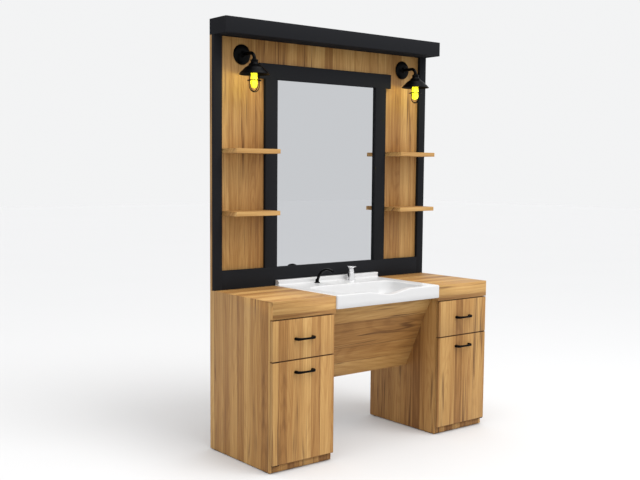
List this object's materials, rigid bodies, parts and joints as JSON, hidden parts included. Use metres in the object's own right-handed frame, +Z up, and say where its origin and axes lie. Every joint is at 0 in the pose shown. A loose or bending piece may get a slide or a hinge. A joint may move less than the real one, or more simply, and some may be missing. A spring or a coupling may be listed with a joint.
{
  "type": "wall-side salon station with basin and mirror",
  "caption": "Wall-side barber station: drawer and cupboard pedestals, a ceramic basin over a sloping apron, and a framed mirror wall with shelves, cornice and caged lamps.",
  "frame": {"origin": "middle of the footprint at floor level, under the middle of the bounding box", "axes": "+X to the right seen from the front, +Y towards the wall behind, +Z up; the working side faces -Y"},
  "size_m": [1.448, 0.551, 2.117],
  "materials": {
    "oak": "honey oak laminate, satin",
    "drawer_board": "white melamine board, matt",
    "black_board": "black laminate, matt",
    "zinc_steel": "zinc plated",
    "black_metal": "black powder coat, satin",
    "glide_plastic": "moulded",
    "ceramic": "white glaze",
    "chrome": "polished",
    "trap_plastic": "white moulded",
    "mirror": "silvered float glass",
    "lamp_glass": "clear yellow",
    "bulb_glass": "lit"
  },
  "bodies": {
    "station": {"apron_panel": "oak", "back_panel": "oak", "base_boards": "oak", "basin": "ceramic", "basin_bearers": "oak", "basin_waste": "chrome", "bottle_trap": "trap_plastic", "bottom_rail": "black_board", "cornice_boards": "black_board", "cornice_ends": "black_board", "cornice_front": "black_board", "cupboard_shelves": "oak", "divider_boards": "oak", "door_pivots": "black_metal", "glides": "glide_plastic", "inner_stiles": "black_board", "lamp_brackets": "black_metal", "lamp_bulbs": "bulb_glass", "lamp_cages": "black_metal", "lamp_glasses": "lamp_glass", "lamp_holders": "black_metal", "lamp_shades": "black_metal", "mirror": "mirror", "mixer_body": "chrome", "outer_stiles": "black_board", "pedestal_backs": "oak", "plinth_boards": "oak", "rear_rail": "oak", "runner_channels": "zinc_steel", "shelf_rods": "zinc_steel", "shelf_studs": "zinc_steel", "shelves_left": "oak", "shelves_right": "oak", "side_inner_left": "oak", "side_inner_right": "oak", "side_outer_left": "oak", "side_outer_right": "oak", "spout_base": "black_metal", "top_rail": "black_board", "top_stretchers": "oak", "worktop_left": "oak", "worktop_noses": "oak", "worktop_right": "oak"},
    "drawer_left": {"drawer_front_left": "oak", "drawer_box_left": "drawer_board", "runner_slides_left": "zinc_steel", "drawer_handle_left": "black_metal"},
    "drawer_right": {"drawer_front_right": "oak", "drawer_box_right": "drawer_board", "runner_slides_right": "zinc_steel", "drawer_handle_right": "black_metal"},
    "runner_middle_left": {"runner_middles_left": "zinc_steel"},
    "runner_middle_right": {"runner_middles_right": "zinc_steel"},
    "door_left": {"door_left": "oak", "door_handle_left": "black_metal"},
    "door_right": {"door_right": "oak", "door_handle_right": "black_metal"},
    "spout": {"spout": "black_metal"},
    "mixer_head": {"mixer_head": "chrome"},
    "mixer_lever": {"mixer_lever": "chrome"}
  },
  "joints": [
    {"name": "drawer_left_slide", "type": "slide", "parent": "station", "child": "drawer_left", "axis": [0, -1, 0], "range_m": [0, 0.4]},
    {"name": "drawer_right_slide", "type": "slide", "parent": "station", "child": "drawer_right", "axis": [0, -1, 0], "range_m": [0, 0.4]},
    {"name": "runner_middle_left_slide", "type": "slide", "parent": "station", "child": "runner_middle_left", "axis": [0, -1, 0], "range_m": [0, 0.2]},
    {"name": "runner_middle_right_slide", "type": "slide", "parent": "station", "child": "runner_middle_right", "axis": [0, -1, 0], "range_m": [0, 0.2]},
    {"name": "door_left_hinge", "type": "hinge", "parent": "station", "child": "door_left", "pos_m": [-0.7165, -0.241, 0.28], "axis": [0, 0, -1], "range_deg": [0, 110]},
    {"name": "door_right_hinge", "type": "hinge", "parent": "station", "child": "door_right", "pos_m": [0.7165, -0.241, 0.28], "axis": [0, 0, 1], "range_deg": [0, 110]},
    {"name": "spout_swivel", "type": "hinge", "parent": "station", "child": "spout", "pos_m": [-0.11, 0.1915, 0.81], "axis": [0, 0, 1], "range_deg": [-90, 90]},
    {"name": "mixer_turn", "type": "hinge", "parent": "station", "child": "mixer_head", "pos_m": [0.119, 0.1825, 0.84], "axis": [0, 0, 1], "range_deg": [-45, 45]},
    {"name": "mixer_lift", "type": "hinge", "parent": "mixer_head", "child": "mixer_lever", "pos_m": [0.119, 0.1935, 0.86425], "axis": [1, 0, 0], "range_deg": [-20, 0]}
  ],
  "couplings": [
    {"joint": "runner_middle_left_slide", "follows": "drawer_left_slide", "ratio": 0.5},
    {"joint": "runner_middle_right_slide", "follows": "drawer_right_slide", "ratio": 0.5}
  ]
}
